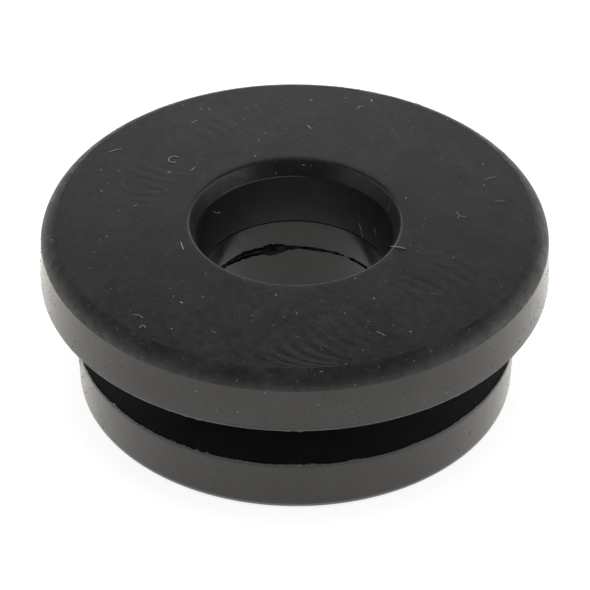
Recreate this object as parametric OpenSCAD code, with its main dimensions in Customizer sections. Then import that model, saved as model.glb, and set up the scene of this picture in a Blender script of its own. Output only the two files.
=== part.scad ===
// Rubber stop, moulded in one piece. A head flange and a smaller foot flange are
// joined by a waist, so the stop snaps into a round hole in a panel. A bore runs
// right through it. The origin is at the centre of the foot's underside, +Z up.

/* [Head flange] */
// Diameter of the head flange at its under-edge, where it is widest
head_d = 25.2; // [23.2:0.2:40]
// Thickness of the head flange
head_t = 3.3; // [2.4:0.1:6]
// Radius of the curved bevel round the top of the head
rim_r = 1.12; // [0.5:0.02:1.6]
// Slope at which the bevel leaves the face, in degrees, which leaves a crisp edge there
rim_lead = 18; // [0:1:30]
// Slope at which the bevel meets the side, in degrees, which leaves a crease there
rim_end = 77; // [60:1:90]
// Edge radius under the head, beside the groove
under_r = 0.35; // [0.05:0.05:0.4]
// Draft of the sides of both flanges, in degrees: each is widest beside the groove
draft = 2.3; // [0:0.1:4]

/* [Waist groove] */
// Width of the groove, which is the thickness of the panel it holds
groove_w = 3.25; // [2:0.05:6]
// Diameter of the waist at the bottom of the groove
waist_d = 15; // [13:0.5:19]
// Radius in the two inner corners of the groove
root_r = 0.4; // [0.1:0.05:0.9]

/* [Foot flange] */
// Diameter of the foot flange at its top edge, where it is widest
foot_d = 21.9; // [20.3:0.2:25]
// Thickness of the foot flange
foot_t = 2.85; // [1.8:0.05:5]
// Edge radius at the top of the foot, beside the groove
lip_r = 0.15; // [0.05:0.05:0.6]
// Edge radius at the bottom of the foot
sole_r = 0.35; // [0.1:0.05:0.8]

/* [Bore] */
// Diameter of the straight part of the bore
bore_d = 9.3; // [6:0.1:9.6]
// Depth below the head's face at which the tapered lead-in reaches the straight bore
lead_depth = 3.45; // [2:0.05:5]
// Diameter of the mouth at the head's face, round the outside of its rounded lip
mouth_d = 11; // [10.9:0.1:12.5]
// Radius of the mouth's rounded lip
mouth_r = 0.4; // [0.1:0.05:0.5]
// Steepness of the mouth's bevel, in degrees
mouth_slope = 68; // [60:1:75]
// Depth at which the mouth's bevel ends and the lead-in starts
mouth_depth = 0.85; // [0.5:0.05:1]
// Diameter of the bore's bevel at the foot's underside
exit_d = 10.1; // [9.7:0.1:12]
// Depth of the bevel at the foot's underside
exit_depth = 0.4; // [0.2:0.05:1.2]

/* [Hidden] */
$fn = 180;

head_r = head_d / 2;
foot_r = foot_d / 2;
waist_r = waist_d / 2;
groove_z0 = foot_t;                 // top face of the foot flange
groove_z1 = foot_t + groove_w;      // underside of the head flange
height = groove_z1 + head_t;
// Where the mouth's rounded lip turns into its bevel, and where the bevel ends
lip_end = mouth_slope - 6;
lip_x = mouth_d / 2 - mouth_r * sin(lip_end);
lip_z = height - mouth_r * (1 - cos(lip_end));
lead_r = lip_x - (mouth_depth - height + lip_z) / tan(mouth_slope);
rubber_black = [0.11, 0.11, 0.11];
past = 1;                           // how far a cutter runs past the solid
nick = 0.03;                        // how far a cutter runs past a crease

// Material outside a rounded outer corner at [x, z]. The body lies on the inner side
// of the corner in x, and on the side away from dir in z. Away from the corner its
// side leans in by lean degrees, and the rounding touches that side.
module corner_cut(x, z, dir, r, lean) {
    cx = x - r * (1 + sin(lean)) / cos(lean);
    reach = r * (1 + sin(lean));
    difference() {
        translate([cx, dir > 0 ? z - reach : z - past])
            square([r + past, reach + past]);
        translate([cx, z - dir * r])
            circle(r = r);
    }
}

// Fillet that fills an inner corner at [x, z]. The open space lies on the outer side
// of the corner in x, and on the side of dir in z.
module corner_fill(x, z, dir, r) {
    difference() {
        translate([x, dir > 0 ? z : z - r])
            square([r, r]);
        translate([x + r, z + dir * r])
            circle(r = r);
    }
}

// What the curved bevel takes off the top edge of the head. The curve leaves the face
// at the slope rim_lead and meets the drafted side at the slope rim_end.
module rim_cut() {
    end_z = height - rim_r * (cos(rim_lead) - cos(rim_end));
    end_x = head_r - (end_z - groove_z1) * tan(draft);
    cx = end_x - rim_r * sin(rim_end);
    difference() {
        translate([cx + rim_r * sin(rim_lead), end_z - nick])
            square([rim_r + past, rim_r + past]);
        translate([cx, height - rim_r * cos(rim_lead)])
            circle(r = rim_r);
    }
}

// Half of a flange's section: radius r and thickness t from height z upwards. Its side
// leans in towards the top by the draft, or towards the bottom if dir is -1.
module flange(z, t, r, dir) {
    low_r = dir > 0 ? r : r - t * tan(draft);
    high_r = dir > 0 ? r - t * tan(draft) : r;
    polygon([[0, z], [low_r, z], [high_r, z + t], [0, z + t]]);
}

// Half of the section through the axis, without the bore.
module half_section() {
    difference() {
        union() {
            flange(groove_z1, head_t, head_r, 1);
            square([waist_r, height]);
            flange(0, foot_t, foot_r, -1);
            corner_fill(waist_r, groove_z1, -1, root_r);
            corner_fill(waist_r, groove_z0, 1, root_r);
        }
        rim_cut();
        corner_cut(head_r, groove_z1, -1, under_r, draft);
        corner_cut(foot_r, groove_z0, 1, lip_r, draft);
        corner_cut(foot_r - foot_t * tan(draft), 0, -1, sole_r, -draft);
    }
}

// A cone that runs on past both of its ends, so that it cuts without a sliver.
// It has diameter d0 at height z0 and d1 at height z1.
module bevel_cut(z0, d0, z1, d1, below, above) {
    slope = (d1 - d0) / (z1 - z0);
    translate([0, 0, z0 - below])
        cylinder(h = z1 - z0 + below + above, d1 = d0 - slope * below, d2 = d1 + slope * above);
}

// What the rounded lip takes off round the mouth: all that lies inside its curve.
module lip_cut() {
    rotate_extrude()
        difference() {
            translate([0, lip_z - nick])
                square([mouth_d / 2, height - lip_z + past]);
            translate([mouth_d / 2, height - mouth_r])
                circle(r = mouth_r);
        }
}

// The bore, from the rounded mouth down its bevel and a tapered lead-in to the straight
// part, and out through a bevel at the foot.
module bore_cut() {
    translate([0, 0, -past])
        cylinder(h = height + 2 * past, d = bore_d);
    bevel_cut(height - lead_depth, bore_d, height - mouth_depth, 2 * lead_r, past, past / 4);
    bevel_cut(height - mouth_depth, 2 * lead_r, lip_z, 2 * lip_x, past / 4, nick);
    lip_cut();
    bevel_cut(0, exit_d, exit_depth, bore_d, past, past / 2);
}

module rubber_stop() {
    color(rubber_black)
        difference() {
            rotate_extrude()
                half_section();
            bore_cut();
        }
}

rubber_stop();
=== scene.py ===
"""Looks of the rubber stop: a moulded black rubber stop on a white table, in a light tent."""

import math
import random

import bmesh
import bpy
from mathutils import Matrix, Vector, noise


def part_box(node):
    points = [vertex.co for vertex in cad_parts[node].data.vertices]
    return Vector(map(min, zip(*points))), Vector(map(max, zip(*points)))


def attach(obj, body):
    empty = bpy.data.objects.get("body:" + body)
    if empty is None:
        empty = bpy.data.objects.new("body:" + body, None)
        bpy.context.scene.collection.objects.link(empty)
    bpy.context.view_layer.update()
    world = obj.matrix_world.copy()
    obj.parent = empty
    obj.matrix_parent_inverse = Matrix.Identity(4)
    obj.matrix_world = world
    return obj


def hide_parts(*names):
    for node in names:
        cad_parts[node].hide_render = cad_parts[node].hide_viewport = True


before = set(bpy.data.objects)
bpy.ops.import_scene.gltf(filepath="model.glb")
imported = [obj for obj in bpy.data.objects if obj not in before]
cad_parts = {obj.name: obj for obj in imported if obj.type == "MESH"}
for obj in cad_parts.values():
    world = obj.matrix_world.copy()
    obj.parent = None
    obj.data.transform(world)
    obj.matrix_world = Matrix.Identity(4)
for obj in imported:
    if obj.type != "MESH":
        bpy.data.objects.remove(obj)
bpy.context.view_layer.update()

MM = 0.001
SEED = 7
random.seed(SEED)

# ---------------------------------------------------------------- sizes, in millimetres and degrees
# They repeat part.scad, which this script can't read, except where a comment says that they don't
NODE = "rubber_stop"
_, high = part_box(NODE)
HEIGHT = high[2] / MM
# Head flange: its curved bevel meets the face and the side at two slopes, which leave a crease each
HEAD_R = 12.6
HEAD_T = 3.3
RIM_R = 1.12
RIM_LEAD = 18.0
RIM_END = 77.0
UNDER_R = 0.35
# Draft of the sides of both flanges
DRAFT = 2.3
# Waist groove
GROOVE_W = 3.25
WAIST_R = 7.5
ROOT_R = 0.4
# Foot flange, with the radii of its top and bottom edges
FOOT_R = 10.95
FOOT_EDGE_R = 0.15
SOLE_R = 0.35
# Bore: the mouth's bevel, the tapered lead-in, the straight run and the bevel at the foot
MOUTH_SLOPE = 68.0
MOUTH_DEPTH = 0.85
LEAD_DEPTH = 3.45
BORE_R = 4.65
EXIT_R = 5.05
EXIT_DEPTH = 0.4
# The mouth's lip is sharper than in part.scad, as the photo shows it: its radius, how far its curve
# turns before the bevel starts, and the radius at which the bevel ends
MOUTH_EDGE = 0.2
LIP_END = 62.0
LEAD_R = 4.877

# Only here: how far the foot is moulded off the head's axis, and how far the face's edge wanders
FOOT_SHIFT = 0.054
RAGGED = 0.03
# Only here: a fine groove where the mould's two core pins met, at the foot of the lead-in
WITNESS_W = 0.07
WITNESS_CUT = 0.04

# Points round the axis
SEGMENTS = 512

FOOT_T = HEIGHT - HEAD_T - GROOVE_W
UNDER = HEIGHT - HEAD_T
LEAN = math.tan(math.radians(DRAFT))
# The bevel's lower end, its centre, and the face's edge
RIM_LOW = HEIGHT - RIM_R * (math.cos(math.radians(RIM_LEAD)) - math.cos(math.radians(RIM_END)))
RIM_X = HEAD_R - (RIM_LOW - UNDER) * LEAN
RIM_CX = RIM_X - RIM_R * math.sin(math.radians(RIM_END))
RIM_CZ = HEIGHT - RIM_R * math.cos(math.radians(RIM_LEAD))
FACE_R = RIM_CX + RIM_R * math.sin(math.radians(RIM_LEAD))
# Where the lip turns into the mouth's bevel, and the lip's edge on the face
LIP_Z = HEIGHT - MOUTH_EDGE * (1 - math.cos(math.radians(LIP_END)))
LIP_X = LEAD_R + (MOUTH_DEPTH - HEIGHT + LIP_Z) / math.tan(math.radians(MOUTH_SLOPE))
MOUTH_R = LIP_X + MOUTH_EDGE * math.sin(math.radians(LIP_END))
SOLE_X = FOOT_R - FOOT_T * LEAN
WITNESS_Z = HEIGHT - LEAD_DEPTH

# ---------------------------------------------------------------- camera
# A long lens, 36 degrees above the table, fitted to the outlines in the photo. Lengths are in mm
CAM_DISTANCE = 200.0
CAM_ELEVATION = math.radians(36.205)
CAM_AIM = Vector((0.0182, 0.0, 4.7791))
CAM_ROLL = math.radians(0.218)
CAM_LENS = 248.384
CAM_SENSOR = 36.0
# The nearest and furthest that it sees, in metres
CAM_CLIP = (0.01, 10)


def make_camera():
    """The camera, where the photo was taken from."""
    data = bpy.data.cameras.new("camera")
    data.sensor_width = CAM_SENSOR
    data.lens = CAM_LENS
    data.clip_start, data.clip_end = CAM_CLIP
    cam = bpy.data.objects.new("camera", data)
    bpy.context.collection.objects.link(cam)
    reach = CAM_DISTANCE * math.cos(CAM_ELEVATION)
    rise = CAM_DISTANCE * math.sin(CAM_ELEVATION)
    place = Vector((0, -reach, HEIGHT + rise))
    turn = (CAM_AIM - place).to_track_quat("-Z", "Y").to_matrix()
    cam.matrix_world = (turn @ Matrix.Rotation(CAM_ROLL, 3, "Z")).to_4x4()
    cam.location = place * MM
    bpy.context.scene.camera = cam


make_camera()


# ---------------------------------------------------------------- moulded body
# How many waves go round a circle of radius 1 in the noise, and what brings their height up to 1
NOISE_WAVES = 6.0
NOISE_GAIN = 1.6
# The faces of the section, each with a finish of its own and a colour that carries painted light and shade
FINISHES = ("face", "rim", "side", "edge", "groove", "foot", "heel", "sole", "bore", "lead", "bevel", "lip")
# Points further in than this are in the bore, which stays on the head's axis
BORE_SIDE = 6.0
# Two radii that differ by less are one
SAME = 0.001


def polar(r, angle, z, shift=0.0):
    """A point in metres at radius r and height z in mm, at an angle in degrees, shifted along x in mm."""
    t = math.radians(angle)
    return ((r * math.cos(t) + shift) * MM, r * math.sin(t) * MM, z * MM)


def ripple(angle, waves, key):
    """Smooth noise from -1 to 1 that runs round the axis without a seam, with about this many waves."""
    t = math.radians(angle)
    reach = waves / NOISE_WAVES
    height = NOISE_GAIN * noise.noise(Vector((reach * math.cos(t), reach * math.sin(t), key)))
    return max(-1.0, min(1.0, height))


def bump_at(angle, centre, width):
    """A smooth bump of height 1 at the centre angle."""
    return math.exp(-(((angle - centre) / width) ** 2))


def line(a, b, steps):
    """Points from a to b, without the last."""
    return [(a[0] + (b[0] - a[0]) * i / steps, a[1] + (b[1] - a[1]) * i / steps) for i in range(steps)]


def arc(centre, radius, start, end, steps):
    """Points on an arc from start to end, in degrees, without the last."""
    out = []
    for i in range(steps):
        t = math.radians(start + (end - start) * i / steps)
        out.append((centre[0] + radius * math.cos(t), centre[1] + radius * math.sin(t)))
    return out


def outer_corner(x, z, r, lean, up):
    """Centre of a rounding of radius r at the outer corner [x, z], whose side leans in by lean."""
    tilt = math.radians(lean)
    return (x - r * (1 + math.sin(tilt)) / math.cos(tilt), z + r if up else z - r)


def section():
    """The half section from the mouth outwards and round: points, finish, and if it starts in a crease."""
    under = outer_corner(HEAD_R, UNDER, UNDER_R, DRAFT, True)
    foot_top = outer_corner(FOOT_R, FOOT_T, FOOT_EDGE_R, DRAFT, False)
    sole = outer_corner(SOLE_X, 0, SOLE_R, -DRAFT, True)

    def on(centre, r, angle):
        """A point on a rounding."""
        t = math.radians(angle)
        return (centre[0] + r * math.cos(t), centre[1] + r * math.sin(t))

    side_end = on(under, UNDER_R, DRAFT)
    foot_start = on(foot_top, FOOT_EDGE_R, -DRAFT)
    foot_end = on(sole, SOLE_R, -DRAFT)
    bevel_low = HEIGHT - MOUTH_DEPTH
    witness_low = (BORE_R, WITNESS_Z - WITNESS_W / 2)
    witness_deep = (BORE_R + WITNESS_CUT, WITNESS_Z)
    witness_high = (BORE_R, WITNESS_Z + WITNESS_W / 2)
    return [
        (line((MOUTH_R, HEIGHT), (FACE_R, HEIGHT), 24), "face", False),
        (arc((RIM_CX, RIM_CZ), RIM_R, 90 - RIM_LEAD, 90 - RIM_END, 14), "rim", True),
        (line((RIM_X, RIM_LOW), side_end, 14), "side", True),
        (arc(under, UNDER_R, DRAFT, -90, 5), "edge", False),
        (line((under[0], UNDER), (WAIST_R + ROOT_R, UNDER), 6), "groove", False),
        (arc((WAIST_R + ROOT_R, UNDER - ROOT_R), ROOT_R, 90, 180, 5), "groove", False),
        (line((WAIST_R, UNDER - ROOT_R), (WAIST_R, FOOT_T + ROOT_R), 5), "groove", False),
        (arc((WAIST_R + ROOT_R, FOOT_T + ROOT_R), ROOT_R, 180, 270, 5), "groove", False),
        (line((WAIST_R + ROOT_R, FOOT_T), (foot_top[0], FOOT_T), 6), "groove", False),
        (arc(foot_top, FOOT_EDGE_R, 90, -DRAFT, 5), "edge", False),
        (line(foot_start, foot_end, 12), "foot", False),
        (arc(sole, SOLE_R, -DRAFT, -90, 6), "heel", False),
        (line((sole[0], 0), (EXIT_R, 0), 8), "sole", False),
        (line((EXIT_R, 0), (BORE_R, EXIT_DEPTH), 3), "sole", True),
        (line((BORE_R, EXIT_DEPTH), witness_low, 24), "bore", True),
        (line(witness_low, witness_deep, 1), "bore", True),
        (line(witness_deep, witness_high, 1), "bore", True),
        (line(witness_high, (LEAD_R, bevel_low), 14), "lead", True),
        (line((LEAD_R, bevel_low), (LIP_X, LIP_Z), 8), "bevel", True),
        (arc((MOUTH_R, HEIGHT - MOUTH_EDGE), MOUTH_EDGE, 90 + LIP_END, 90, 9), "lip", False),
    ]


def off_axis(r, z):
    """How far a point of the section is shifted: all of the foot, and the waist by degrees."""
    if r <= BORE_SIDE:
        return 0.0
    return FOOT_SHIFT * min(1.0, max(0.0, (UNDER - ROOT_R - z) / (GROOVE_W - 2 * ROOT_R)))


def wander(angle):
    """How the edge of the face wanders in and out, in slow waves and finer ones."""
    return ripple(angle, 90, 5.5) + 0.7 * ripple(angle, 230, 8.5)


def make_body():
    """The moulding, turned from its section, with creases, and each face given the material index of its
    finish.
    """
    points = []
    creased = set()
    finish = []
    for stretch, name, crease in section():
        if crease:
            creased.add(len(points))
        finish += [FINISHES.index(name)] * len(stretch)
        points += stretch
    rings = len(points)
    verts = []
    for r, z in points:
        shift = off_axis(r, z)
        ragged = RAGGED if abs(r - FACE_R) < SAME else 0.0
        for k in range(SEGMENTS):
            angle = 360 * k / SEGMENTS
            verts.append(polar(r + ragged * wander(angle), angle, z, shift))
    faces = []
    slots = []
    for i in range(rings):
        j = (i + 1) % rings
        for k in range(SEGMENTS):
            n = (k + 1) % SEGMENTS
            faces.append((i * SEGMENTS + k, j * SEGMENTS + k, j * SEGMENTS + n, i * SEGMENTS + n))
            slots.append(finish[i])
    mesh = bpy.data.meshes.new("moulded_rubber")
    mesh.from_pydata(verts, [], faces)
    mesh.polygons.foreach_set("use_smooth", [True] * len(faces))
    mesh.polygons.foreach_set("material_index", slots)
    for edge in mesh.edges:
        first, second = (v // SEGMENTS for v in edge.vertices)
        if first == second and first in creased:
            edge.use_edge_sharp = True
    mesh.update()
    body = bpy.data.objects.new("moulded_rubber", mesh)
    bpy.context.collection.objects.link(body)
    return body


# ---------------------------------------------------------------- materials
RUBBER_IOR = 1.6
# One row for each face. The columns are roughness and how far it spreads; the heights in mm of the
# fine grain, the soft waves and the upright streaks; the darkest colour and how many times paler the
# palest is; the specular level; and the weight of the dusty sheen
# The darkest colours carry painted light and shade: the groove, heel, bevel and lip are painted paler, and
# the side and foot darker, than one black rubber would be
FINISH_AND_PAINTED_LIGHT = {
    "face": (0.30, 0.06, 0.0016, 0.004, 0.0, 0.0130, 1.8, 0.5, 0.0),
    "rim": (0.60, 0.10, 0.0080, 0.005, 0.003, 0.0140, 2.4, 0.5, 0.3),
    "side": (0.18, 0.06, 0.0028, 0.003, 0.0040, 0.0085, 2.6, 0.42, 0.4),
    "edge": (0.42, 0.10, 0.0040, 0.003, 0.0, 0.0140, 1.5, 0.30, 0.0),
    # The groove is painted paler, as painted light in its deep shade
    "groove": (0.50, 0.05, 0.0010, 0.003, 0.0, 0.0300, 1.5, 0.4, 0.0),
    "foot": (0.18, 0.06, 0.0028, 0.003, 0.0040, 0.0080, 2.6, 0.42, 0.4),
    # The heel is painted paler, as a painted glow of the bright table just under it
    "heel": (0.22, 0.08, 0.0030, 0.003, 0.0, 0.0400, 1.5, 0.8, 0.4),
    "sole": (0.40, 0.05, 0.0010, 0.003, 0.0, 0.0140, 1.5, 0.5, 0.0),
    "bore": (0.17, 0.05, 0.0004, 0.001, 0.0010, 0.0160, 1.1, 0.28, 0.0),
    "lead": (0.38, 0.04, 0.0012, 0.002, 0.0015, 0.0150, 1.3, 0.5, 0.0),
    "bevel": (0.38, 0.08, 0.0040, 0.003, 0.0, 0.0220, 1.6, 0.55, 0.02),
    "lip": (0.36, 0.08, 0.0024, 0.003, 0.0, 0.0200, 1.6, 0.5, 0.02),
}
# Scales of the patterns, as features in a mm
MOTTLE_PER_MM = 0.5
SPECKLE_PER_MM = 2.6
GLOSS_PER_MM = 2.2
GRAIN_PER_MM = 3.2
RIM_GRAIN_PER_MM = 6.0
WAVES_PER_MM = 0.55
STREAKS_PER_MM = 4.5
STREAKS_UPWARDS_PER_MM = 0.35
TORN_PER_MM = 9.0
DUST_PER_MM = 3.0
# Noise stays near its middle, so a pattern runs from its low to its high end over this stretch of it
MOTTLE_SPAN = (0.38, 0.66)
GLOSS_SPAN = (0.3, 0.7)
TORN_SPAN = (0.35, 0.65)
TORN_ROUGHNESS = (0.3, 0.6)
DUST_ROUGHNESS = 0.9
DUST_SPECULAR = 0.2
# Red, green and blue of the rubber where it is darkest, palest and torn, and of the dusty sheen
DARK_TINT = (1.0, 0.99, 0.97)
PALE_TINT = (1.0, 0.985, 0.96)
TORN_TINT = (1.0, 0.98, 0.95)
SHEEN_TINT = (1.0, 0.93, 0.84, 1)
SHEEN_ROUGHNESS = 0.3
# The cutter's arcs: their radius, the ring that their centres lie on, how many go round it, and
# their height
MARK_RADIUS = 3.1
MARK_RING = 8.6
MARKS_ROUND = 74
MARK_HEIGHT = 0.0023
# How much of that height is left where they are worn, and how far they waver, in radians
MARK_WORN = 0.25
MARK_WAVER = 0.016
MARK_WEAR_PER_MM = 0.9
MARK_WEAR_SPAN = (0.32, 0.6)
MARK_WAVER_PER_MM = 0.8
# They fade in between these two radii, so that they stay clear of the mouth
MARK_CLEAR = (6.0, 7.6)
# Where they show: centre and reach in mm, the way that they bulge, and their strength
MARK_PATCHES = (
    ((-7.2, 3.3), 3.0, -1, 0.95),
    ((0.2, -8.9), 4.4, 1, 1.6),
    ((6.8, -4.5), 3.0, -1, 0.9),
    ((-3.6, 7.2), 2.4, 1, 1.0),
)
# The part of a patch's reach that shows them in full
MARK_PATCH_CORE = 0.35


class Tree:
    """Adds nodes to a material's or a world's node tree, with numbers or sockets as what they take in."""

    def __init__(self, nt):
        self.nt = nt

    def put(self, value, socket):
        """Links a socket to another, or sets it to a number or a colour. None leaves it as it is."""
        if isinstance(value, bpy.types.NodeSocket):
            self.nt.links.new(value, socket)
        elif value is not None:
            socket.default_value = value

    def math(self, op, a, b=None):
        n = self.nt.nodes.new("ShaderNodeMath")
        n.operation = op
        self.put(a, n.inputs[0])
        self.put(b, n.inputs[1])
        return n.outputs[0]

    def vector(self, op, a, b=None):
        n = self.nt.nodes.new("ShaderNodeVectorMath")
        n.operation = op
        self.put(a, n.inputs[0])
        self.put(b, n.inputs[1])
        return n.outputs["Value"] if op in ("DOT_PRODUCT", "DISTANCE") else n.outputs[0]

    def noise(self, coords, per_mm, detail, roughness=0.5):
        """Noise from 0 to 1 with this many features in a mm, each with finer ones on it."""
        n = self.nt.nodes.new("ShaderNodeTexNoise")
        n.inputs["Scale"].default_value = per_mm
        n.inputs["Detail"].default_value = detail
        n.inputs["Roughness"].default_value = roughness
        self.nt.links.new(coords, n.inputs["Vector"])
        return n.outputs["Fac"]

    def spread(self, value, low, high, to_low, to_high):
        """Turns low to high smoothly into to_low to to_high, and holds it at those ends."""
        n = self.nt.nodes.new("ShaderNodeMapRange")
        n.interpolation_type = "SMOOTHSTEP"
        self.put(value, n.inputs["Value"])
        n.inputs["From Min"].default_value = low
        n.inputs["From Max"].default_value = high
        n.inputs["To Min"].default_value = to_low
        n.inputs["To Max"].default_value = to_high
        return n.outputs["Result"]

    def blend(self, factor, first, second):
        """A colour between the first and the second."""
        n = self.nt.nodes.new("ShaderNodeMix")
        n.data_type = "RGBA"
        self.put(factor, n.inputs["Factor"])
        n.inputs["A"].default_value = first
        n.inputs["B"].default_value = second
        return n.outputs["Result"]

    def total(self, *values):
        out = values[0]
        for v in values[1:]:
            out = self.math("ADD", out, v)
        return out


def new_material(name):
    """A material with its shader, a Tree that adds to it, and the place on the piece in mm."""
    mat = bpy.data.materials.new(name)
    mat.use_nodes = True
    t = Tree(mat.node_tree)
    place = t.nt.nodes.new("ShaderNodeTexCoord").outputs["Object"]
    mm = t.vector("MULTIPLY", place, (1 / MM, 1 / MM, 1 / MM))
    return mat, t.nt.nodes["Principled BSDF"], t, mm


def tinted(tone, tint):
    """A colour of this brightness and tint."""
    return (tone * tint[0], tone * tint[1], tone * tint[2], 1)


def cutter_marks(t, mm):
    """Height in mm of the faint arcs that the mould's milled face left on the head."""
    split = t.nt.nodes.new("ShaderNodeSeparateXYZ")
    t.nt.links.new(mm, split.inputs[0])
    x, y = split.outputs[0], split.outputs[1]
    r2 = t.math("ADD", t.math("MULTIPLY", x, x), t.math("MULTIPLY", y, y))
    r = t.math("SQRT", r2)
    # The arc through a point has its centre on the ring, bend radians round from the point
    top = t.math("ADD", r2, MARK_RING ** 2 - MARK_RADIUS ** 2)
    cosine = t.math("DIVIDE", top, t.math("MULTIPLY", r, 2 * MARK_RING))
    bend = t.math("ARCCOSINE", t.math("MINIMUM", cosine, 1.0))
    angle = t.math("ARCTAN2", y, x)
    waver = t.spread(t.noise(mm, MARK_WAVER_PER_MM, 2), 0.0, 1.0, -MARK_WAVER, MARK_WAVER)
    waves = []
    for centre, reach, way, strength in MARK_PATCHES:
        away = t.vector("DISTANCE", mm, (centre[0], centre[1], HEIGHT))
        shown = t.spread(away, MARK_PATCH_CORE * reach, reach, strength, 0.0)
        turn = t.math("ADD" if way > 0 else "SUBTRACT", angle, bend)
        turn = t.math("ADD", turn, waver)
        waves.append(t.math("MULTIPLY", t.math("SINE", t.math("MULTIPLY", turn, MARKS_ROUND)), shown))
    wear = t.noise(mm, MARK_WEAR_PER_MM, 2)
    worn = t.spread(wear, *MARK_WEAR_SPAN, MARK_WORN * MARK_HEIGHT, MARK_HEIGHT)
    clear = t.spread(r, *MARK_CLEAR, 0.0, 1.0)
    return t.math("MULTIPLY", t.math("MULTIPLY", t.total(*waves), worn), clear)


def rubber(finish):
    """Black rubber with one face's finish: mottled colour and gloss, fine grain, soft waves and streaks, on
    a darkest colour set per face as painted light and shade.
    """
    rough, rough_by, grain_h, wave_h, streak_h, tone, paler, shine, sheen = FINISH_AND_PAINTED_LIGHT[finish]
    mat, p, t, mm = new_material("black_rubber_painted_light_" + finish)
    mottle = t.noise(mm, MOTTLE_PER_MM, 5, 0.6)
    speckle = t.noise(mm, SPECKLE_PER_MM, 4, 0.65)
    both = t.math("MULTIPLY", t.math("ADD", mottle, speckle), 0.5)
    factor = t.spread(both, *MOTTLE_SPAN, 0.0, 1.0)
    # The darkest colour is painted lighter or darker per face to stand in for light and shade; the mottle
    # up to the palest is the rubber's own uneven colour
    t.put(t.blend(factor, tinted(tone, DARK_TINT), tinted(tone * paler, PALE_TINT)), p.inputs["Base Color"])
    gloss = t.noise(mm, GLOSS_PER_MM, 5, 0.65)
    t.put(t.spread(gloss, *GLOSS_SPAN, rough - rough_by, rough + rough_by), p.inputs["Roughness"])
    p.inputs["IOR"].default_value = RUBBER_IOR
    p.inputs["Specular IOR Level"].default_value = shine
    p.inputs["Sheen Weight"].default_value = sheen
    p.inputs["Sheen Roughness"].default_value = SHEEN_ROUGHNESS
    p.inputs["Sheen Tint"].default_value = SHEEN_TINT
    grain = t.noise(mm, RIM_GRAIN_PER_MM if finish == "rim" else GRAIN_PER_MM, 1)
    wave = t.noise(mm, WAVES_PER_MM, 2)
    height = t.total(t.math("MULTIPLY", grain, grain_h), t.math("MULTIPLY", wave, wave_h))
    if streak_h:
        upright = t.vector("MULTIPLY", mm, (STREAKS_PER_MM, STREAKS_PER_MM, STREAKS_UPWARDS_PER_MM))
        height = t.total(height, t.math("MULTIPLY", t.noise(upright, 1.0, 2), streak_h))
    if finish == "face":
        height = t.total(height, cutter_marks(t, mm))
    bump = t.nt.nodes.new("ShaderNodeBump")
    bump.inputs["Distance"].default_value = MM
    t.put(height, bump.inputs["Height"])
    t.put(bump.outputs["Normal"], p.inputs["Normal"])
    return mat


body = make_body()
for finish in FINISHES:
    body.data.materials.append(rubber(finish))
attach(body, "root")
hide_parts(NODE)


# ---------------------------------------------------------------- flash and burrs left by the mould
def new_piece(name, verts, faces, mat):
    """A closed mesh piece that rides on the stop, with its faces turned outwards."""
    mesh = bpy.data.meshes.new(name)
    mesh.from_pydata(verts, [], faces)
    bm = bmesh.new()
    bm.from_mesh(mesh)
    bmesh.ops.recalc_face_normals(bm, faces=bm.faces)
    bm.to_mesh(mesh)
    bm.free()
    piece = bpy.data.objects.new(name, mesh)
    bpy.context.collection.objects.link(piece)
    mesh.materials.append(mat)
    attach(piece, "root")
    return piece


def strip(name, outline, start, end, steps, mat, shift=0.0):
    """A thin strip round the axis. outline(angle) gives its closed section as [r, z] points in mm."""
    whole = end - start >= 360
    count = steps if whole else steps + 1
    verts = []
    for i in range(count):
        angle = start + (end - start) * i / steps
        verts += [polar(r, angle, z, shift) for r, z in outline(angle)]
    sides = len(verts) // count
    faces = []
    for i in range(steps):
        j = (i + 1) % count
        for k in range(sides):
            n = (k + 1) % sides
            faces.append((i * sides + k, j * sides + k, j * sides + n, i * sides + n))
    if not whole:
        faces.append(tuple(range(sides)))
        faces.append(tuple(range((count - 1) * sides, count * sides)))
    piece = new_piece(name, verts, faces, mat)
    return piece


# The torn flash inside the bore: its depth below the head's face, how far it is let into the wall,
# its height and the bumps on that, each as height in mm, angle and width. It is thick at the left,
# thin at the right, and broken in one place
FLASH_DEPTH = 5.1
FLASH_SEAT = 0.03
FLASH_TALL = 0.165
FLASH_BUMPS = ((0.2, 128, 15), (0.42, 103, 9), (0.1, 250, 60), (-0.05, 30, 50))
FLASH_GAP = (56, 2.6)
# The angles where the burr along the mouth's bevel starts and ends, and over which it fades in and out
BURR_FROM = 84
BURR_TO = 152
BURR_FADE_IN = 14
BURR_FADE_OUT = 16
# Steps round the axis of the fine strips and of the coarser one in the bore
STRIP_STEPS = 1800
BORE_STRIP_STEPS = 1080
BURR_STEPS = 340


def bore_flash(angle):
    """Section of the torn flash inside the bore, as two ragged lips."""
    a = angle % 360
    tall = FLASH_TALL
    for height, centre, width in FLASH_BUMPS:
        tall += height * bump_at(a, centre, width)
    tall *= 1 + 0.5 * ripple(a, 70, 1.5) + 0.3 * ripple(a, 190, 3.3)
    gap = 1 - 0.93 * bump_at(a, *FLASH_GAP)
    tall = max(0.012, tall * gap)
    out = (0.05 + 0.1 * bump_at(a, 112, 20) + 0.03 * ripple(a, 90, 4.2)) * gap
    out = max(0.006, out)
    z = HEIGHT - FLASH_DEPTH + 0.04 * ripple(a, 14, 7.7) - 0.05 * bump_at(a, 103, 8)
    wall = BORE_R + FLASH_SEAT
    return [
        (wall, z - tall / 2),
        (BORE_R - out, z - 0.36 * tall),
        (BORE_R - (0.3 + 0.7 * bump_at(a, 104, 14)) * out, z - 0.04 * tall),
        (BORE_R - out * (0.8 + 0.3 * ripple(a, 60, 9.1)), z + 0.34 * tall),
        (wall, z + tall / 2),
    ]


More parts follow.
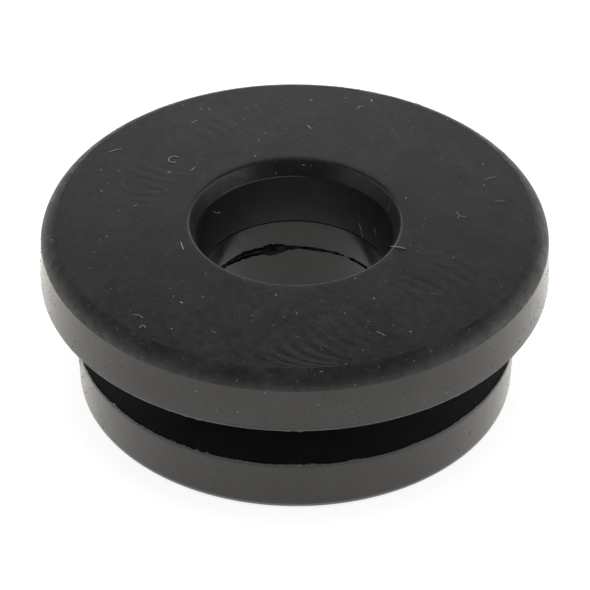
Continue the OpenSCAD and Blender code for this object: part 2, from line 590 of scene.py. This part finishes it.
def mouth_burr(angle):
    """Section of the fine burr along the inner edge of the mouth's bevel."""
    fade = min(1.0, (angle - BURR_FROM) / BURR_FADE_IN, (BURR_TO - angle) / BURR_FADE_OUT)
    out = max(0.003, (0.034 + 0.012 * ripple(angle, 120, 2.5)) * fade)
    z = HEIGHT - MOUTH_DEPTH
    return [
        (LEAD_R + 0.02, z - 0.035),
        (LEAD_R - out, z - 0.004),
        (LEAD_R - 0.8 * out, z + 0.012),
        (LEAD_R + 0.03, z + 0.03),
    ]


def spikes(angle, key):
    """Ragged height from 0 to 1: mostly low and fine, with a few torn tips."""
    fine = 0.5 * abs(ripple(angle, 300, key)) + 0.5 * abs(ripple(angle, 760, key + 1.7))
    torn = max(0.0, ripple(angle, 46, key + 3.1) - 0.25) * (0.5 + 0.5 * ripple(angle, 420, key + 6.4))
    return min(1.0, 0.45 * fine + torn)


def head_flash(angle):
    """Section of the ragged line round the head's under-edge, where the mould parted."""
    tip = max(0.0, 0.2 * spikes(angle, 12.3) - 0.01)
    r = HEAD_R - 0.2
    z = UNDER + 0.06
    return [
        (r - 0.08, z + 0.03),
        (r - 0.07, z - 0.03),
        (r - 0.03, z - 0.02 - tip),
        (r, z - 0.01 - 0.5 * tip),
        (r, z + 0.04),
    ]


def foot_flash(angle):
    """Section of the ragged line round the foot's top edge, torn most at the left."""
    left = 0.45 + 0.9 * bump_at(angle % 360, 240, 32)
    tip = 0.24 * left * spikes(angle, 21.7) - 0.015
    r = FOOT_R
    z = FOOT_T
    return [
        (r - 0.12, z - 0.1),
        (r - 0.011, z - 0.15),
        (r - 0.012, z - 0.06),
        (r - 0.02, z - 0.03 + max(0.0, 0.6 * tip)),
        (r - 0.035, z - 0.025 + max(0.0, tip)),
        (r - 0.06, z - 0.02),
    ]


def torn_rubber(name, tone, shine):
    """The same rubber where it tore, in the colour that it is given: the bore's flash darker as painted
    shade, the mouth's burr paler as a painted highlight.
    """
    mat, p, t, mm = new_material(name)
    torn = t.noise(mm, TORN_PER_MM, 2)
    t.put(t.spread(torn, *TORN_SPAN, *TORN_ROUGHNESS), p.inputs["Roughness"])
    p.inputs["Base Color"].default_value = tinted(tone, TORN_TINT)
    p.inputs["IOR"].default_value = RUBBER_IOR
    p.inputs["Specular IOR Level"].default_value = shine
    return mat


# The bore's flash is painted darker than the rubber, as painted shade on its ragged lips
TORN_FLASH_PAINTED_SHADE = torn_rubber("torn_rubber", 0.006, 0.07)
# The mouth's burr is a real ridge painted pale, as a painted highlight along the bevel's edge
BURR_PAINTED_HIGHLIGHT = torn_rubber("thin_burr_painted_highlight", 0.07, 0.5)
EDGE = torn_rubber("torn_edge", 0.03, 0.4)
strip("bore_flash", bore_flash, 0, 360, BORE_STRIP_STEPS, TORN_FLASH_PAINTED_SHADE)
strip("mouth_burr", mouth_burr, BURR_FROM, BURR_TO, BURR_STEPS, BURR_PAINTED_HIGHLIGHT)
strip("head_flash", head_flash, 0, 360, STRIP_STEPS, EDGE)
strip("foot_flash", foot_flash, 0, 360, STRIP_STEPS, EDGE, FOOT_SHIFT)


# ---------------------------------------------------------------- dust and lint
def dust(name, tone, spread_by):
    """Dust, grit or lint, a little uneven in colour, and warmer where it is paler."""
    mat, p, t, mm = new_material(name)
    darkest = [tone * (1 - k * spread_by) for k in (1, 1, 1.1)]
    palest = [tone * (1 + k * spread_by) for k in (1, 0.96, 0.9)]
    t.put(t.blend(t.noise(mm, DUST_PER_MM, 2), (*darkest, 1), (*palest, 1)), p.inputs["Base Color"])
    p.inputs["Roughness"].default_value = DUST_ROUGHNESS
    p.inputs["Specular IOR Level"].default_value = DUST_SPECULAR
    return mat


PALE_DUST = dust("pale_dust", 0.5, 0.25)
GREY_DUST = dust("grey_dust", 0.16, 0.4)
DARK_GRIT = dust("dark_grit", 0.006, 0.3)
LINT = dust("lint", 0.4, 0.2)


# Outward normal of the mouth's bevel
BEVEL_NORMAL = (-0.93, 0.37)


def profile_frame(region, u):
    """A place on the body's section in mm and its outward normal, for u from 0 to 1 across a region.

    Each region keeps a little clear of its edges, and the sides keep clear of their flash."""
    if region == "face":
        return MOUTH_R + 0.1 + (FACE_R - MOUTH_R - 0.15) * u, HEIGHT, (0.0, 1.0)
    if region == "rim":
        t = math.radians(90 - RIM_LEAD + (RIM_LEAD - RIM_END) * u)
        return RIM_CX + RIM_R * math.cos(t), RIM_CZ + RIM_R * math.sin(t), (math.cos(t), math.sin(t))
    if region == "side":
        z = UNDER + 0.45 + (RIM_LOW - UNDER - 0.5) * u
        return HEAD_R - (z - UNDER) * LEAN, z, (1.0, 0.0)
    if region == "foot":
        z = SOLE_R + 0.05 + (FOOT_T - SOLE_R - 0.3) * u
        return FOOT_R - (FOOT_T - z) * LEAN, z, (1.0, 0.0)
    if region == "bevel":
        z = HEIGHT - MOUTH_DEPTH + 0.08 + (LIP_Z - HEIGHT + MOUTH_DEPTH - 0.1) * u
        return LEAD_R + (z - HEIGHT + MOUTH_DEPTH) / math.tan(math.radians(MOUTH_SLOPE)), z, BEVEL_NORMAL
    z = WITNESS_Z + 0.1 + (HEIGHT - MOUTH_DEPTH - WITNESS_Z - 0.2) * u
    return BORE_R + (LEAD_R - BORE_R) * (z - WITNESS_Z) / (LEAD_DEPTH - MOUTH_DEPTH), z, (-1.0, 0.0)


def surface(region, angle, u):
    """The same as a point in mm, its normal and two directions along the surface."""
    r, z, (nr, nz) = profile_frame(region, u)
    t = math.radians(angle)
    out = Vector((math.cos(t), math.sin(t), 0))
    round_it = Vector((-math.sin(t), math.cos(t), 0))
    normal = (out * nr + Vector((0, 0, nz))).normalized()
    place = out * r + Vector((FOOT_SHIFT if region == "foot" else 0.0, 0, z))
    return place, normal, round_it, normal.cross(round_it)


# Corners and faces of a grain
BALL = [(1, 0, 0), (0, 1, 0), (-1, 0, 0), (0, -1, 0), (0, 0, 1), (0, 0, -1)]
BALL_FACES = [(0, 1, 4), (1, 2, 4), (2, 3, 4), (3, 0, 4), (1, 0, 5), (2, 1, 5), (3, 2, 5), (0, 3, 5)]


def add_grain(verts, faces, frame_at, size, length, turn):
    """An uneven eight-sided grain of this radius and length in mm, half sunk into the surface."""
    place, normal, side, up = frame_at
    along = side * math.cos(turn) + up * math.sin(turn)
    across = normal.cross(along)
    first = len(verts)
    for x, y, z in BALL:
        grow = 1 + random.uniform(-0.3, 0.3)
        p = place + (along * x * length + across * y * size + normal * z * size * 0.6) * grow
        verts.append(tuple(p * MM))
    faces += [tuple(first + k for k in f) for f in BALL_FACES]


def scatter(name, mat, counts, smallest, largest):
    """Grains scattered over the regions: most are small, and a few are long."""
    verts = []
    faces = []
    for region, count in counts.items():
        # The face widens outwards, so more of its dust lies there
        crowd = 0.8 if region == "face" else 1
        for _ in range(count):
            size = smallest + (largest - smallest) * random.random() ** 3
            length = size * (1 + 1.6 * random.random() ** 4)
            frame_at = surface(region, random.uniform(0, 360), random.random() ** crowd)
            add_grain(verts, faces, frame_at, size, length, random.uniform(0, math.pi))
    return new_piece(name, verts, faces, mat)


# How many grains of each dust lie on each region
GREY_COUNTS = {"face": 700, "rim": 420, "side": 700, "foot": 460, "bevel": 110, "bore": 12}
PALE_COUNTS = {"face": 120, "rim": 70, "side": 150, "foot": 110, "bevel": 14, "bore": 3}
GRIT_COUNTS = {"face": 24, "rim": 30, "side": 90, "foot": 70}
scatter("grey_dust", GREY_DUST, GREY_COUNTS, 0.018, 0.036)
scatter("pale_dust", PALE_DUST, PALE_COUNTS, 0.014, 0.034)
scatter("dark_grit", DARK_GRIT, GRIT_COUNTS, 0.02, 0.04)

# The largest grains, where they lie on the face in mm from its centre: x, y, radius, length, turn
LARGE_GRAINS = (
    (-5.4, -6.7, 0.045, 0.12, -35), (0.1, -7.5, 0.05, 0.06, 40), (-0.5, -7.8, 0.05, 0.06, 0),
    (-2.0, -7.7, 0.04, 0.04, 0), (-0.5, -8.4, 0.035, 0.035, 0), (-4.3, -4.4, 0.04, 0.045, 60),
    (-9.2, -1.4, 0.04, 0.06, 10), (-9.3, 3.0, 0.035, 0.07, 50), (-6.4, 2.5, 0.04, 0.045, 0),
    (-9.7, 4.2, 0.03, 0.1, 5), (5.5, 1.9, 0.05, 0.05, 0), (6.3, -0.4, 0.035, 0.035, 0),
    (8.1, -2.8, 0.035, 0.04, 0), (7.7, -3.0, 0.035, 0.05, 30), (3.8, -6.3, 0.045, 0.11, -40),
    (4.7, -8.4, 0.035, 0.06, 60), (5.5, -8.9, 0.035, 0.06, 20), (1.3, -6.5, 0.035, 0.05, 90),
    (2.4, -7.5, 0.03, 0.05, 0), (0.7, 8.0, 0.04, 0.17, -55), (0.8, 10.4, 0.04, 0.12, 35),
    (3.9, 10.4, 0.035, 0.15, 75), (4.9, 7.8, 0.045, 0.045, 0), (9.4, 4.8, 0.04, 0.04, 0),
    (-2.5, 9.7, 0.04, 0.045, 0), (-2.0, 9.9, 0.04, 0.04, 0), (-0.9, 8.4, 0.035, 0.035, 0),
    (-5.8, -6.2, 0.04, 0.04, 0), (-6.0, -5.6, 0.035, 0.035, 0), (-9.6, 2.4, 0.03, 0.16, -35),
    (2.6, 10.6, 0.03, 0.12, 30), (-6.3, 4.0, 0.03, 0.18, 10), (-5.7, -2.0, 0.03, 0.04, 0),
    (7.0, -6.9, 0.03, 0.03, 0), (6.4, 1.5, 0.03, 0.03, 0), (9.4, 3.0, 0.04, 0.05, 70),
)
# They glare in the photo and look larger than they are, so they are made at this scale
LARGE_GRAIN_SCALE = 0.8


def large_grains():
    """The named grains on the face, each lying flat on it and turned its own way."""
    verts = []
    faces = []
    for x, y, size, length, turn in LARGE_GRAINS:
        frame_at = (Vector((x, y, HEIGHT)), Vector((0, 0, 1)), Vector((1, 0, 0)), Vector((0, 1, 0)))
        size *= LARGE_GRAIN_SCALE
        length *= LARGE_GRAIN_SCALE
        add_grain(verts, faces, frame_at, size, length, math.radians(turn))
    new_piece("large_grains", verts, faces, PALE_DUST)


large_grains()

# Lint on the head, each as points in mm from the face's centre, with its radius
LINT_ON_FACE = {
    "long_back_left": ([(-9.4, 5.7), (-9.0, 5.9), (-8.7, 6.0)], 0.018),
    "curl_back_left": (
        [(-5.85, 5.3), (-6.15, 5.35), (-6.36, 5.15), (-6.3, 4.85), (-6.1, 4.75), (-5.95, 4.9)],
        0.024,
    ),
    "dash_left": ([(-5.2, 4.1), (-5.0, 4.45)], 0.022),
    "dash_back": ([(-5.3, 8.25), (-5.0, 8.55)], 0.02),
    "thick_near_mouth": ([(-5.55, -1.85), (-5.5, -2.2), (-5.4, -2.5)], 0.032),
    "dash_right": ([(9.9, 1.66), (10.15, 1.6), (10.38, 1.68)], 0.014),
    "branch_right": ([(7.9, 0.8), (8.1, 0.45), (8.0, 0.2)], 0.012),
    "twig_right": ([(8.1, 0.42), (8.45, 0.28)], 0.011),
    "hook_left": ([(-8.0, 1.1), (-7.85, 1.1), (-7.8, 1.3)], 0.016),
    "arc_front_left": ([(-7.7, -7.7), (-7.4, -7.7), (-7.2, -7.95)], 0.015),
    "cup_front_left": ([(-7.35, -8.7), (-7.2, -8.5), (-7.05, -8.7)], 0.022),
    "tail_back_right": ([(9.4, 3.42), (9.7, 3.6), (10.05, 3.7)], 0.016),
    "curl_back": ([(3.2, 9.6), (3.25, 9.85), (3.45, 9.8)], 0.02),
    "dash_front_right": ([(3.85, -8.9), (4.05, -9.05), (4.3, -9.25)], 0.016),
    "dash_front_left": ([(-3.95, -8.9), (-3.7, -9.1)], 0.014),
    "dash_back_far": ([(0.6, 8.15), (0.85, 7.8)], 0.018),
}
# A thread's sides, the steps between two of its points, the rounds that smooth its bends, how much
# of its radius is left at its ends, and a way that no thread runs in
LINT_SIDES = 6
LINT_STEPS = 4
LINT_SMOOTHINGS = 2
LINT_TIP = 0.45
LINT_ASIDE = Vector((0.1, 0.2, 1))
# Height of its middle line over the face, in its radius, along it and at its ends
LINT_RISE = 1.3
LINT_END_RISE = 0.5


def smooth_run(points):
    """The points with steps between them and their bends smoothed."""
    run = []
    for i in range(len(points) - 1):
        for step in range(LINT_STEPS):
            run.append(points[i].lerp(points[i + 1], step / LINT_STEPS))
    run.append(points[-1])
    for _ in range(LINT_SMOOTHINGS):
        inner = [(run[i - 1] + run[i] * 2 + run[i + 1]) / 4 for i in range(1, len(run) - 1)]
        run = [run[0]] + inner + [run[-1]]
    return run


def tube(points, radius):
    """Vertices in metres and faces of a closed tube through the points, in mm, with narrower ends."""
    smooth = smooth_run(points)
    verts = []
    faces = []
    last = len(smooth) - 1
    for i, p in enumerate(smooth):
        way = (smooth[min(i + 1, last)] - smooth[max(i - 1, 0)]).normalized()
        side = way.cross(LINT_ASIDE).normalized()
        up = side.cross(way)
        taper = radius * (LINT_TIP if i in (0, last) else 1.0)
        for k in range(LINT_SIDES):
            t = 2 * math.pi * k / LINT_SIDES
            verts.append(tuple((p + (side * math.cos(t) + up * math.sin(t)) * taper) * MM))
    for i in range(last):
        for k in range(LINT_SIDES):
            n = (k + 1) % LINT_SIDES
            a, b = i * LINT_SIDES, (i + 1) * LINT_SIDES
            faces.append((a + k, a + n, b + n, b + k))
    faces.append(tuple(range(LINT_SIDES)))
    faces.append(tuple(last * LINT_SIDES + k for k in range(LINT_SIDES)))
    return verts, faces


def lint(name, runs):
    """One piece from several threads, each as points in mm and a radius."""
    verts = []
    faces = []
    for points, radius in runs:
        more, closed = tube(points, radius)
        faces += [tuple(len(verts) + k for k in f) for f in closed]
        verts += more
    return new_piece(name, verts, faces, LINT)


def lint_on_face():
    """The threads on the face, which touch it at their ends and rise just clear of it between."""
    runs = []
    for points, radius in LINT_ON_FACE.values():
        last = len(points) - 1
        raised = []
        for i, (x, y) in enumerate(points):
            rise = LINT_END_RISE if i in (0, last) else LINT_RISE
            raised.append(Vector((x, y, HEIGHT + radius * rise)))
        runs.append((raised, radius))
    lint("lint_on_face", runs)


lint_on_face()


def lint_in_mouth():
    """One thread over the mouth's right edge, and three that cling to the wall of the bore."""
    over = [
        Vector((4.66, -2.2, HEIGHT + 0.05)),
        Vector((5.0, -2.26, HEIGHT + 0.07)),
        Vector((5.4, -2.35, HEIGHT + 0.03)),
    ]

    def cling(places):
        out = []
        for angle, u in places:
            place, normal, _, _ = surface("bore", angle, u)
            out.append(place + normal * 0.012)
        return out

    runs = [
        (over, 0.026),
        (cling([(47, 0.28), (44, 0.12), (42.5, -0.04)]), 0.014),
        (cling([(33, 0.4), (30, 0.26)]), 0.012),
        (cling([(148, 0.85), (145, 0.72), (141, 0.68)]), 0.013),
    ]
    lint("lint_in_mouth", runs)


lint_in_mouth()


def loose_threads():
    """A few short threads on the sides, all round, and on the rim's back half: its front is clear."""
    runs = []
    for region, count, end in (("rim", 10, 180), ("side", 14, 360), ("foot", 8, 360)):
        for _ in range(count):
            angle = random.uniform(0, end)
            u = random.uniform(0.15, 0.85)
            turn = random.uniform(-2.2, 2.2)
            rise = random.uniform(-0.12, 0.12)
            run = []
            for k in range(3):
                along = min(0.95, max(0.05, u + rise * k / 2))
                place, normal, _, _ = surface(region, angle + turn * k / 2, along)
                run.append(place + normal * 0.008)
            runs.append((run, random.uniform(0.008, 0.014)))
    lint("loose_threads", runs)


loose_threads()


# ---------------------------------------------------------------- table, tent and lamps
# The table's own white as the camera sees it and as reflections see it
FLOOR_GLOW = 0.85
FLOOR_SHEEN = 1.0
WARM_WHITE = (1.0, 0.972, 0.93, 1)
# The grey that takes the shadow for both of them, and the table's real colour for all other light
FLOOR_SHADE = tinted(0.45, (1, 0.98, 0.96))
FLOOR_COLOUR = tinted(0.9, (1, 1, 0.99))
# Half its width in metres
FLOOR_REACH = 1.5
# Just below the sole, so that the two faces are never in one plane
FLOOR_Z = -0.01 * MM


def diffuse(nt, colour):
    """A matt shader of this colour."""
    n = nt.nodes.new("ShaderNodeBsdfDiffuse")
    n.inputs["Color"].default_value = colour
    return n.outputs[0]


def mix_shaders(nt, factor, first, second):
    """The first shader where the factor is 0, and the second where it is 1."""
    n = nt.nodes.new("ShaderNodeMixShader")
    nt.links.new(factor, n.inputs[0])
    nt.links.new(first, n.inputs[1])
    nt.links.new(second, n.inputs[2])
    return n.outputs[0]


def make_floor():
    """A white table that keeps the stop's shadow. A camera below it sees through it to the sole."""
    mesh = bpy.data.meshes.new("floor")
    s = FLOOR_REACH
    corners = [(-s, -s, FLOOR_Z), (s, -s, FLOOR_Z), (s, s, FLOOR_Z), (-s, s, FLOOR_Z)]
    mesh.from_pydata(corners, [], [(0, 1, 2, 3)])
    floor = bpy.data.objects.new("floor", mesh)
    bpy.context.collection.objects.link(floor)
    mat = bpy.data.materials.new("table")
    mat.use_nodes = True
    nt = mat.node_tree
    nt.nodes.remove(nt.nodes["Principled BSDF"])
    t = Tree(nt)
    path = nt.nodes.new("ShaderNodeLightPath")
    camera = path.outputs["Is Camera Ray"]
    glossy = t.math("MAXIMUM", path.outputs["Is Glossy Ray"], path.outputs["Is Transmission Ray"])
    seen = t.math("MAXIMUM", camera, glossy)
    ground = mix_shaders(nt, seen, diffuse(nt, FLOOR_COLOUR), diffuse(nt, FLOOR_SHADE))
    glow = nt.nodes.new("ShaderNodeEmission")
    level = t.math("ADD", t.math("MULTIPLY", camera, FLOOR_GLOW), t.math("MULTIPLY", glossy, FLOOR_SHEEN))
    t.put(level, glow.inputs["Strength"])
    t.put(t.blend(glossy, (1, 1, 1, 1), WARM_WHITE), glow.inputs["Color"])
    lit = nt.nodes.new("ShaderNodeAddShader")
    nt.links.new(ground, lit.inputs[0])
    nt.links.new(glow.outputs[0], lit.inputs[1])
    below = nt.nodes.new("ShaderNodeNewGeometry").outputs["Backfacing"]
    clear = nt.nodes.new("ShaderNodeBsdfTransparent").outputs[0]
    shown = mix_shaders(nt, t.math("MULTIPLY", camera, below), lit.outputs[0], clear)
    nt.links.new(shown, nt.nodes["Material Output"].inputs[0])
    mesh.materials.append(mat)


make_floor()


# The tent's soft walls, as the world: azimuth and elevation in degrees, and strength
WALLS = {
    "roof": (0, 90, 1.4),
    "back": (90, 35, 0.15),
    "high_back": (90, 64, 0.45),
    "front": (270, 35, 0.37),
    "front_low": (270, 8, 0.28),
    "left": (180, 8, 1.35),
    "back_right": (45, 8, 0.4),
    "front_left": (225, 8, 0.8),
    "front_right": (315, 8, 0.92),
}
# How tightly each wall's light keeps to its middle
WALL_FOCUS = 10


def make_world():
    """White to the camera. To the stop and the table it is a tent of soft bright walls with dark gaps."""
    world = bpy.data.worlds.new("tent")
    bpy.context.scene.world = world
    world.use_nodes = True
    nt = world.node_tree
    t = Tree(nt)
    way = nt.nodes.new("ShaderNodeTexCoord").outputs["Generated"]
    level = []
    for azimuth, elevation, strength in WALLS.values():
        a = math.radians(azimuth)
        e = math.radians(elevation)
        middle = (math.cos(e) * math.cos(a), math.cos(e) * math.sin(a), math.sin(e))
        facing = t.vector("DOT_PRODUCT", way, middle)
        lobe = t.math("POWER", t.math("MAXIMUM", facing, 0.0), WALL_FOCUS)
        level.append(t.math("MULTIPLY", lobe, strength))
    cam = nt.nodes.new("ShaderNodeLightPath").outputs["Is Camera Ray"]
    hidden = t.math("MULTIPLY", t.total(*level), t.math("SUBTRACT", 1.0, cam))
    nt.links.new(t.math("ADD", hidden, cam), nt.nodes["Background"].inputs["Strength"])


make_world()


def lamp(name, place, aim, size, strength):
    """A soft area lamp with a place, an aim and a size in mm. At a strength of 1 its face is white."""
    data = bpy.data.lights.new(name, "AREA")
    data.shape = "RECTANGLE"
    data.size = size[0] * MM
    data.size_y = size[1] * MM
    data.energy = strength * size[0] * size[1] * MM * MM * math.pi
    obj = bpy.data.objects.new(name, data)
    bpy.context.collection.objects.link(obj)
    place = Vector(place) * MM
    obj.matrix_world = (Vector(aim) * MM - place).to_track_quat("-Z", "Y").to_matrix().to_4x4()
    obj.location = place
    obj.visible_camera = False
    return obj


fill = lamp("softbox_top", (0, 0, 350), (0, 0, 0), (400, 400), 2.0)
fill.visible_glossy = False
lamp("panel_back_low", (0, 80, 17.5), (0, 0, 17.5), (160, 35), 1.07)
lamp("panel_back_high", (0, 80, 52.5), (0, 0, 52.5), (160, 35), 0.6)
lamp("card_left", (-80, 0, 20), (0, 0, 20), (140, 40), 0.6)
lamp("card_right", (80, 0, 20), (0, 0, 20), (140, 40), 1.1)
bpy.context.scene.view_settings.view_transform = "Standard"
